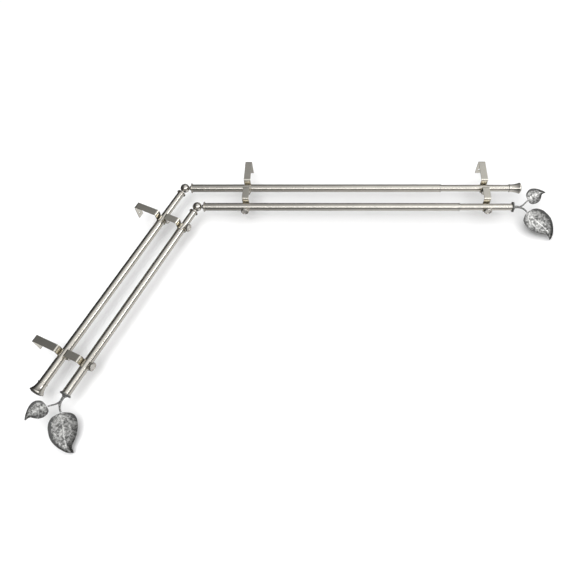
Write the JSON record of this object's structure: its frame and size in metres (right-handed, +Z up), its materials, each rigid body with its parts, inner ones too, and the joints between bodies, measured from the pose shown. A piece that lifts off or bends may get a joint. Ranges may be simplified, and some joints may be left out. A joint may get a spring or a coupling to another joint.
{
  "type": "curtain rod with brackets",
  "caption": "Double telescoping curtain rod for a bay-window corner, with ball elbows, trumpet end caps, leaf finials and double cradle brackets with thumbscrews.",
  "frame": {"origin": "middle of the rear face of the right inner bracket's wall plate", "axes": "+Z up, +Y into the right wing's wall, +X outwards along the right wing"},
  "size_m": [1.5703, 0.972, 0.0875],
  "materials": {
    "satin_nickel": "satin, brushed along the rod",
    "polished_nickel": "polished, lightly worn",
    "bracket_nickel": "satin plated strip",
    "antique_pewter": "cast, dark in its hollows and rubbed bright on its ridges",
    "zinc_steel": "zinc plated"
  },
  "bodies": {
    "right_wing": {"right_back_outer_tube": "satin_nickel", "right_back_end_ring": "polished_nickel", "back_elbow_ball": "polished_nickel", "back_elbow_pin": "zinc_steel", "back_elbow_right_stud": "zinc_steel", "back_elbow_right_cup": "polished_nickel", "right_inner_bracket": "bracket_nickel", "right_outer_bracket": "bracket_nickel"},
    "right_back_extension": {"right_back_inner_tube": "satin_nickel", "right_end_cap": "satin_nickel"},
    "right_front_rod": {"right_front_outer_tube": "satin_nickel", "right_front_end_ring": "polished_nickel", "front_elbow_ball": "polished_nickel", "front_elbow_pin": "zinc_steel", "front_elbow_right_stud": "zinc_steel", "front_elbow_right_cup": "polished_nickel"},
    "right_front_extension": {"right_front_inner_tube": "satin_nickel", "right_finial_collar": "antique_pewter", "right_finial_twig": "antique_pewter", "right_small_leaf": "antique_pewter", "right_large_leaf": "antique_pewter"},
    "left_wing": {"left_back_inner_tube": "satin_nickel", "back_elbow_left_tongue": "zinc_steel", "back_elbow_left_cup": "polished_nickel", "left_inner_bracket": "bracket_nickel", "left_outer_bracket": "bracket_nickel"},
    "left_back_extension": {"left_back_outer_tube": "satin_nickel", "left_back_end_ring": "polished_nickel", "left_end_cap": "satin_nickel"},
    "left_front_rod": {"left_front_inner_tube": "satin_nickel", "front_elbow_left_tongue": "zinc_steel", "front_elbow_left_cup": "polished_nickel"},
    "left_front_extension": {"left_front_outer_tube": "satin_nickel", "left_front_end_ring": "polished_nickel", "left_finial_collar": "antique_pewter", "left_finial_twig": "antique_pewter", "left_small_leaf": "antique_pewter", "left_large_leaf": "antique_pewter"},
    "right_inner_back_clamp": {"right_inner_back_thumbscrew": "polished_nickel"},
    "right_inner_front_clamp": {"right_inner_front_thumbscrew": "polished_nickel"},
    "right_outer_back_clamp": {"right_outer_back_thumbscrew": "polished_nickel"},
    "right_outer_front_clamp": {"right_outer_front_thumbscrew": "polished_nickel"},
    "left_inner_back_clamp": {"left_inner_back_thumbscrew": "polished_nickel"},
    "left_inner_front_clamp": {"left_inner_front_thumbscrew": "polished_nickel"},
    "left_outer_back_clamp": {"left_outer_back_thumbscrew": "polished_nickel"},
    "left_outer_front_clamp": {"left_outer_front_thumbscrew": "polished_nickel"}
  },
  "joints": [
    {"name": "right_back_telescope", "type": "slide", "parent": "right_wing", "child": "right_back_extension", "axis": [1, 0, 0], "range_m": [-0.06, 0.3]},
    {"name": "left_wing_swing", "type": "hinge", "parent": "right_wing", "child": "left_wing", "pos_m": [-0.211, -0.096, 0.003], "axis": [0, 0, 1], "range_deg": [-6, 12]},
    {"name": "right_front_rod_slide", "type": "slide", "parent": "right_wing", "child": "right_front_rod", "axis": [1, 0, 0], "range_m": [-0.007, 0.0125]},
    {"name": "right_front_telescope", "type": "slide", "parent": "right_front_rod", "child": "right_front_extension", "axis": [1, 0, 0], "range_m": [-0.05, 0.3]},
    {"name": "left_back_telescope", "type": "slide", "parent": "left_wing", "child": "left_back_extension", "axis": [-0.4067, -0.9135, 0], "range_m": [0, 0.3]},
    {"name": "left_front_rod_slide", "type": "slide", "parent": "left_wing", "child": "left_front_rod", "axis": [-0.4067, -0.9135, 0], "range_m": [-0.007, 0.0125]},
    {"name": "left_front_telescope", "type": "slide", "parent": "left_front_rod", "child": "left_front_extension", "axis": [-0.4067, -0.9135, 0], "range_m": [0, 0.3]},
    {"name": "right_inner_back_thumbscrew_turn", "type": "hinge", "parent": "right_wing", "child": "right_inner_back_clamp", "pos_m": [0, -0.116, 0.01], "axis": [0, -1, 0], "continuous": true},
    {"name": "right_inner_front_thumbscrew_turn", "type": "hinge", "parent": "right_wing", "child": "right_inner_front_clamp", "pos_m": [0, -0.194, 0.01], "axis": [0, -1, 0], "continuous": true},
    {"name": "right_outer_back_thumbscrew_turn", "type": "hinge", "parent": "right_wing", "child": "right_outer_back_clamp", "pos_m": [0.786, -0.116, 0.01], "axis": [0, -1, 0], "continuous": true},
    {"name": "right_outer_front_thumbscrew_turn", "type": "hinge", "parent": "right_wing", "child": "right_outer_front_clamp", "pos_m": [0.786, -0.194, 0.01], "axis": [0, -1, 0], "continuous": true},
    {"name": "left_inner_back_thumbscrew_turn", "type": "hinge", "parent": "left_wing", "child": "left_inner_back_clamp", "pos_m": [-0.24967, -0.23203, 0.01], "axis": [0.9135, -0.4067, 0], "continuous": true},
    {"name": "left_inner_front_thumbscrew_turn", "type": "hinge", "parent": "left_wing", "child": "left_inner_front_clamp", "pos_m": [-0.17842, -0.26376, 0.01], "axis": [0.9135, -0.4067, 0], "continuous": true},
    {"name": "left_outer_back_thumbscrew_turn", "type": "hinge", "parent": "left_wing", "child": "left_outer_back_clamp", "pos_m": [-0.4624, -0.70982, 0.01], "axis": [0.9135, -0.4067, 0], "continuous": true},
    {"name": "left_outer_front_thumbscrew_turn", "type": "hinge", "parent": "left_wing", "child": "left_outer_front_clamp", "pos_m": [-0.39114, -0.74154, 0.01], "axis": [0.9135, -0.4067, 0], "continuous": true}
  ],
  "couplings": [
    {"joint": "right_front_rod_slide", "follows": "left_wing_swing", "m_per_rad": 0.055447},
    {"joint": "left_front_rod_slide", "follows": "left_wing_swing", "m_per_rad": 0.055447}
  ]
}
